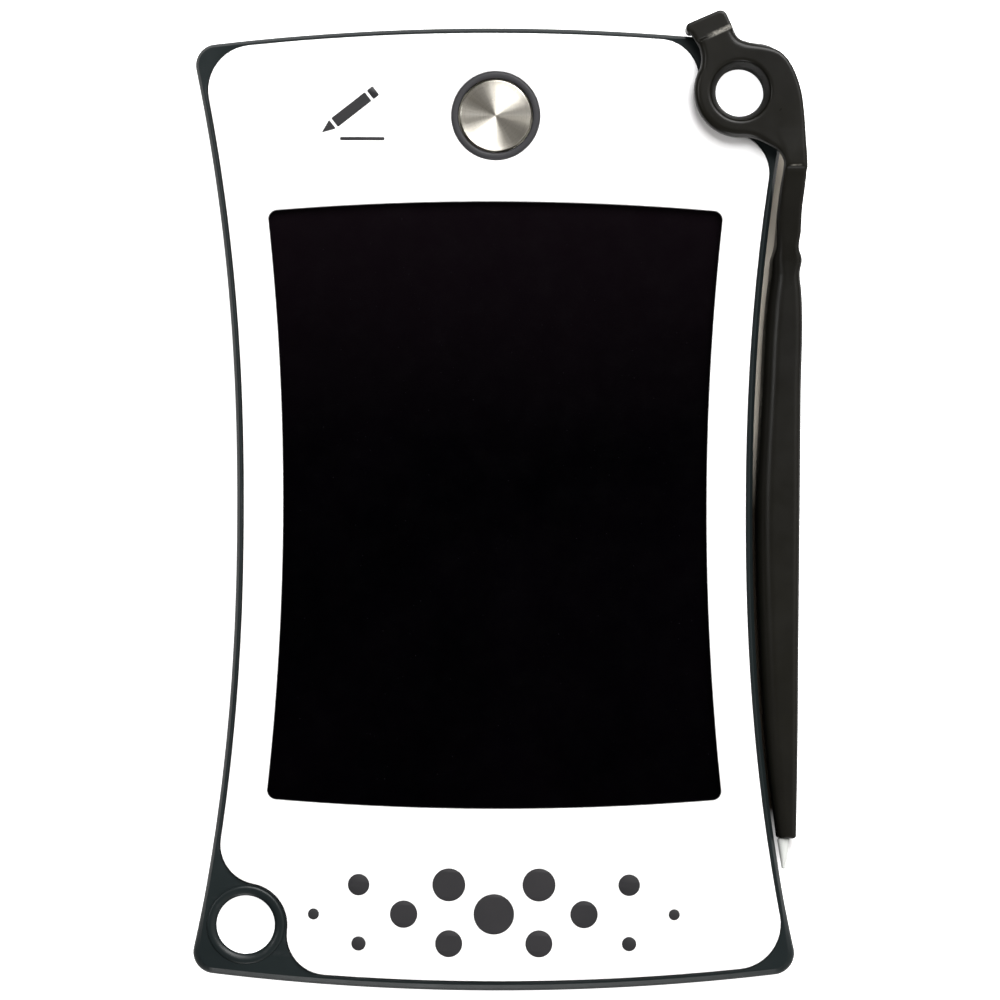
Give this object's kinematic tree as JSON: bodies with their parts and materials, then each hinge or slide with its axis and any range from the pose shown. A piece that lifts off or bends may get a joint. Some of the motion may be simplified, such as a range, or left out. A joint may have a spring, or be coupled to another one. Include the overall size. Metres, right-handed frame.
{
  "type": "personal digital assistant",
  "caption": "Pocket LCD writing tablet with a pinched white bezel, round steel erase button and a stylus that clips over one corner.",
  "frame": {"origin": "centre of the flat back face of the rear shell", "axes": "+X to the right of the screen, +Y to its top, where the erase button is, +Z out of the screen"},
  "size_m": [0.0933, 0.1497, 0.0085],
  "materials": {
    "shell_charcoal": "fine matte, rounded glossy hole lips",
    "bezel_white": "gloss",
    "screen_black": "smooth film, near black",
    "foam_tape": "foam",
    "support_aluminium": "rolled",
    "amber_film": "film",
    "board_green": "solder mask",
    "ivory_plastic": "moulded",
    "chip_black": "moulded",
    "ferrite_grey": "sintered",
    "ceramic_tan": "fired",
    "cell_steel": "plated",
    "spring_brass": "stamped",
    "screw_steel": "zinc",
    "ring_rubber": "satin",
    "button_steel": "radially brushed",
    "stylus_black": "satin",
    "tip_grey": "smooth",
    "magnet_nickel": "nickel plated"
  },
  "bodies": {
    "tablet": {"rear_shell": "shell_charcoal", "front_bezel": "bezel_white", "lcd_panel": "screen_black", "lcd_adhesive_frame": "foam_tape", "lcd_support_plate": "support_aluminium", "lcd_flex_tail": "amber_film", "main_pcb": "board_green", "fpc_connector": "ivory_plastic", "erase_driver_ic": "chip_black", "boost_inductor": "ferrite_grey", "boost_capacitor": "ceramic_tan", "boost_diode": "chip_black", "coin_cell": "cell_steel", "battery_contact_negative": "spring_brass", "battery_contact_positive": "spring_brass", "button_ring": "ring_rubber", "tactile_switch_base": "chip_black", "case_screw_1": "screw_steel", "case_screw_2": "screw_steel", "case_screw_3": "screw_steel", "case_screw_4": "screw_steel", "magnet_left": "magnet_nickel", "magnet_right": "magnet_nickel"},
    "erase_button": {"erase_button_cap": "button_steel", "erase_button_carrier": "ivory_plastic"},
    "switch_plunger": {"tactile_switch_plunger": "ivory_plastic"},
    "stylus": {"stylus_body": "stylus_black", "stylus_tip": "tip_grey"},
    "battery_cover": {"battery_cover": "shell_charcoal"},
    "battery_cover_screw": {"battery_cover_screw": "screw_steel"}
  },
  "joints": [
    {"name": "erase_button_press", "type": "slide", "parent": "tablet", "child": "erase_button", "axis": [0, 0, -1], "range_m": [0, 0.00035], "stiffness_N_per_m": 4000},
    {"name": "switch_plunger_press", "type": "slide", "parent": "tablet", "child": "switch_plunger", "axis": [0, 0, -1], "range_m": [0, 0.00035]},
    {"name": "stylus_pull_off", "type": "slide", "parent": "tablet", "child": "stylus", "axis": [0, 0, 1], "range_m": [0, 0.012]},
    {"name": "battery_cover_lift", "type": "slide", "parent": "tablet", "child": "battery_cover", "axis": [0, 0, -1], "range_m": [0, 0.01]},
    {"name": "battery_cover_screw_turn", "type": "hinge", "parent": "battery_cover", "child": "battery_cover_screw", "pos_m": [-0.0353, 0.0596, 0.0005], "axis": [0, 0, 1], "continuous": true}
  ],
  "couplings": [
    {"joint": "switch_plunger_press", "follows": "erase_button_press", "ratio": 1}
  ]
}
